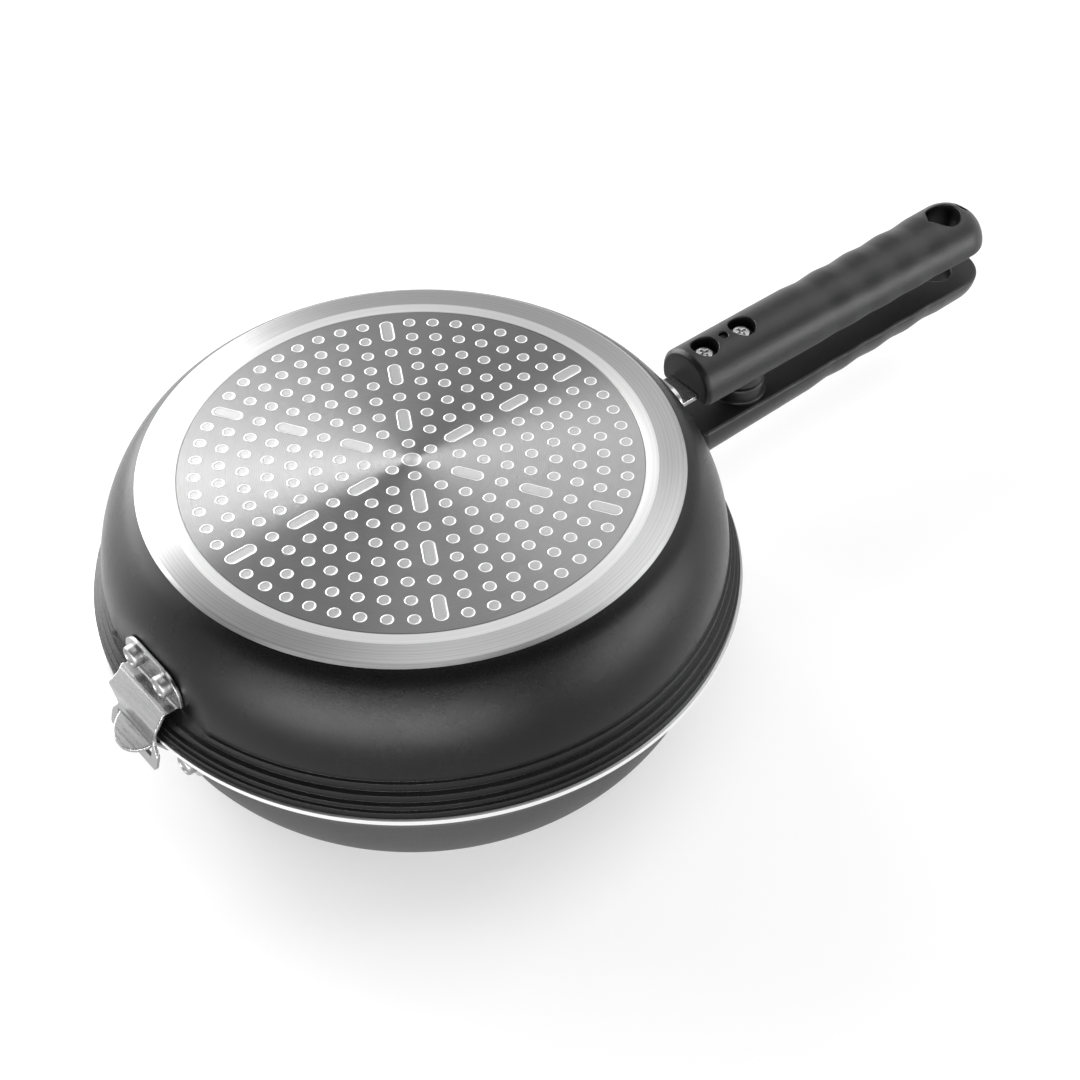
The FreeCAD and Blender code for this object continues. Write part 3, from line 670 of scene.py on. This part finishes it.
def make_rivet(half, plate, side, end, y):
    """Turned rivet with a dished, ringed head outside and a flat head inside the pan."""
    sheet = SHEET[plate]
    head = RIVET_HEAD_RADIUS
    tail = RIVET_TAIL_RADIUS
    tail_end = -WALL - RIVET_TAIL_HEIGHT
    head_end = sheet + RIVET_HEAD_HEIGHT
    profile = [(tail_end, 0.0)]
    profile += [(tail_end + rise, tail - inset) for rise, inset in RIVET_TAIL_EDGE]
    profile += [
        (-WALL, tail),
        (-WALL, RIVET_SHANK_RADIUS),
        (sheet, RIVET_SHANK_RADIUS),
        (sheet, head - RIVET_HEAD_FOOT[1]),
        (sheet + RIVET_HEAD_FOOT[0], head),
    ]
    profile += [(head_end - fall, head - inset) for fall, inset in RIVET_HEAD_EDGE + RIVET_HEAD_DISH]
    profile.append((head_end - RIVET_MIDDLE_SINK, 0.0))
    distance = flat_distance(half)
    profile = [(side * (distance + along), radius) for along, radius in profile]
    node = "%s_%s_rivet_%s" % (half, plate, end)
    rivet = turned_part(node + "_body", half, (0, y, RIVET_HEIGHT), "x", profile, "rivet_metal", RIVET_AROUND)
    return declare(rivet, half, "rivet_metal", node)


def make_magnet(half):
    profile = [(0.0, 0.0)]
    profile += [(rise, MAGNET_RADIUS - inset) for rise, inset in MAGNET_EDGE]
    profile += [(MAGNET_HEIGHT, MAGNET_RADIUS), (MAGNET_HEIGHT, 0.0)]
    magnet = turned_part(half + "_magnet_disc", half, (SCREWS["rear"], 0, 0), "h", profile, "magnet_metal")
    return declare(magnet, half, "magnet_metal", half + "_handle_magnet")


def make_screw(half, name):
    node = "%s_handle_%s_screw" % (half, name)
    screw = moulded_copy(node + "_body", node, SCREW_SOFTNESS, "screw_steel")
    return declare(screw, half, "screw_steel", node)


# Sheet metal and grips: CAD forms with stamped or moulded edges

def make_plate(half, plate, node):
    obj = moulded_copy(half + "_" + plate, half + "_" + node, PLATE_SOFTNESS, "plate_steel")
    return declare(obj, half, "plate_steel", half + "_" + node)


def soften_waves(grip):
    """Blend the finger waves of the outer side into each other."""
    chosen = []
    for vertex in grip.data.vertices:
        h = abs(vertex.co.z / MM - PAN_DEPTH)
        if WAVE_START < vertex.co.x / MM < WAVE_END and h > WAVE_LOWEST:
            chosen.append(vertex.index)
    group = grip.vertex_groups.new(name="waves")
    group.add(chosen, 1.0, "REPLACE")
    smooth = grip.modifiers.new("waves", "SMOOTH")
    smooth.vertex_group = group.name
    smooth.iterations = WAVE_ROUNDS
    apply_modifiers(grip)


def make_grip(half):
    node = half + "_handle_grip"
    grip = moulded_copy(half + "_grip_shell", node, GRIP_SOFTNESS, "grip_plastic")
    soften_waves(grip)
    return declare(grip, half, "grip_plastic", node)


def make_half(half):
    make_pan(half)
    make_disc(half)
    make_disc_pads(half)
    make_plate(half, "hinge_strap", "hinge_plate")
    make_plate(half, "handle_strap", "handle_bracket")
    for plate, side in (("hinge", -1), ("bracket", 1)):
        for end, y in (("left", RIVET_SPACING / 2), ("right", -RIVET_SPACING / 2)):
            make_rivet(half, plate, side, end, y)
    make_grip(half)
    make_magnet(half)
    for name in SCREWS:
        make_screw(half, name)


for half_name in HALVES:
    make_half(half_name)


# Camera, fitted to the photograph of 1080 by 1080 pixels. Its place is in dot pitches from the middle
# of the upper disc's face, and its axes are right, down and forward.

CAMERA_TURN = math.radians(30.4)
CAMERA_AXES = (
    (0.98602, -0.16654, -0.00505),
    (-0.12198, -0.70088, -0.70277),
    (0.11350, 0.69357, -0.71139),
)
CAMERA_PLACE = (-4.331, -59.305, 55.151)
CAMERA_LENS = 64.86
CAMERA_SENSOR = 36.0
CAMERA_NEAREST = 0.01
FACE_SINK = 0.4
FACE_HEIGHT = 2 * PAN_DEPTH - FACE_SINK


def make_camera():
    """Camera placed from the upper disc's face; returns its right and forward directions."""
    to_row = Matrix.Rotation(-CAMERA_TURN, 3, "Z")
    right, down, forward = (to_row @ Vector(axis) for axis in CAMERA_AXES)
    centre = to_row @ (Vector(CAMERA_PLACE) * DOT_PITCH * MM) + Vector((0, 0, FACE_HEIGHT * MM))
    data = bpy.data.cameras.new("camera")
    data.sensor_width = CAMERA_SENSOR
    data.lens = CAMERA_LENS
    data.clip_start = CAMERA_NEAREST
    camera = bpy.data.objects.new("camera", data)
    basis = Matrix((right, -down, -forward)).transposed().to_4x4()
    camera.matrix_world = Matrix.Translation(centre) @ basis
    bpy.context.scene.collection.objects.link(camera)
    bpy.context.scene.camera = camera
    return right, forward


camera_right, camera_forward = make_camera()
FLAT_RIGHT = Vector((camera_right.x, camera_right.y, 0)).normalized()
FLAT_BACK = Vector((camera_forward.x, camera_forward.y, 0)).normalized()


# Studio: dim world, white sweep and soft lamps, in metres and watts

WORLD_LEVEL = 0.07
FLOOR_GLOW = 0.56
FLOOR_SHADE = 0.50
FLOOR_ROUGHNESS = 0.9
FLOOR_SPECULAR = 0.1
SWEEP_RADIUS = 5.0
SWEEP_CORNER = 1.0
SWEEP_HEIGHT = 2.6
SWEEP_STEPS = 12
SWEEP_AROUND = 96
WHITE_FROM = 0.6
WHITE_TO = 1.5
LAMP_TARGET = Vector((0.0, 0.0, 0.08))

# Each lamp: name, how far right and how far beyond as the camera sees it, height, size, power
LAMPS = (
    ("softbox_left_back", -0.75, 1.0, 0.55, (0.8, 1.1), 16.0),
    ("softbox_left", -1.15, 0.6, 0.5, (0.9, 1.0), 16.0),
    ("softbox_high", 0.9, 0.5, 1.1, (1.0, 1.0), 8.0),
    ("softbox_far", 0.0, 1.1, 1.3, (1.8, 1.2), 5.0),
    ("softbox_top", 0.1, 0.1, 1.6, (0.9, 0.9), 5.0),
    ("strip_right", 1.3, -0.3, 0.16, (1.0, 0.22), 8.0),
    ("strip_near", -0.4, -1.6, 0.15, (2.6, 0.16), 44.0),
)


def seen_directly(tree):
    """1 for camera, glossy and transmitted rays, 0 for the rays that only light things."""
    path = add(tree, "ShaderNodeLightPath")
    most = path.outputs["Is Camera Ray"]
    for name in ("Is Glossy Ray", "Is Transmission Ray"):
        higher = add(tree, "ShaderNodeMath", operation="MAXIMUM")
        tree.links.new(most, higher.inputs[0])
        tree.links.new(path.outputs[name], higher.inputs[1])
        most = higher.outputs[0]
    return most


def make_world():
    world = bpy.data.worlds.new("studio")
    bpy.context.scene.world = world
    world.use_nodes = True
    sky = world.node_tree.nodes["Background"]
    sky.inputs["Color"].default_value = (1.0, 1.0, 1.0, 1.0)
    sky.inputs["Strength"].default_value = WORLD_LEVEL


def make_floor():
    """White sweep all round that stays pale where it is seen, with the object's soft shadow on it."""
    turns = [math.pi / 2 * step / SWEEP_STEPS for step in range(SWEEP_STEPS + 1)]
    profile = [(SWEEP_RADIUS - SWEEP_CORNER * (1 - math.sin(turn)), SWEEP_CORNER * (1 - math.cos(turn)))
               for turn in turns]
    profile.append((SWEEP_RADIUS, SWEEP_HEIGHT))
    vertices = [(0.0, 0.0, 0.0)]
    for radius, height in profile:
        for step in range(SWEEP_AROUND):
            angle = math.tau * step / SWEEP_AROUND
            vertices.append((radius * math.cos(angle), radius * math.sin(angle), height))
    faces = []
    for step in range(SWEEP_AROUND):
        after = (step + 1) % SWEEP_AROUND
        faces.append((0, 1 + step, 1 + after))
        for ring in range(len(profile) - 1):
            low = 1 + ring * SWEEP_AROUND
            high = low + SWEEP_AROUND
            faces.append((low + step, low + after, high + after, high + step))
    mesh = bpy.data.meshes.new("floor")
    mesh.from_pydata(vertices, [], faces)
    mesh.shade_smooth()
    material, tree, shader = node_material("floor_white")
    shader.inputs["Base Color"].default_value = (FLOOR_SHADE, FLOOR_SHADE, FLOOR_SHADE, 1.0)
    shader.inputs["Roughness"].default_value = FLOOR_ROUGHNESS
    shader.inputs["Specular IOR Level"].default_value = FLOOR_SPECULAR
    shader.inputs["Emission Color"].default_value = (1.0, 1.0, 1.0, 1.0)
    level = add(tree, "ShaderNodeMapRange", interpolation_type="SMOOTHSTEP")
    level.inputs["From Min"].default_value = WHITE_FROM
    level.inputs["From Max"].default_value = WHITE_TO
    level.inputs["To Min"].default_value = FLOOR_GLOW
    level.inputs["To Max"].default_value = 1.0
    tree.links.new(radius_node(tree), level.inputs["Value"])
    glow = add(tree, "ShaderNodeMath", operation="MULTIPLY")
    tree.links.new(level.outputs["Result"], glow.inputs[0])
    tree.links.new(seen_directly(tree), glow.inputs[1])
    tree.links.new(glow.outputs[0], shader.inputs["Emission Strength"])
    link_mesh("floor", mesh, [material])


def make_lamp(name, right, beyond, height, size, power):
    """Area lamp aimed at the object."""
    data = bpy.data.lights.new(name, "AREA")
    data.shape = "RECTANGLE"
    data.size, data.size_y = size
    data.energy = power
    lamp = bpy.data.objects.new(name, data)
    lamp.location = FLAT_RIGHT * right + FLAT_BACK * beyond + Vector((0, 0, height))
    lamp.rotation_euler = (LAMP_TARGET - lamp.location).to_track_quat("-Z", "Y").to_euler()
    bpy.context.scene.collection.objects.link(lamp)


make_world()
make_floor()
for lamp_values in LAMPS:
    make_lamp(*lamp_values)

bpy.context.scene.view_settings.view_transform = "Standard"
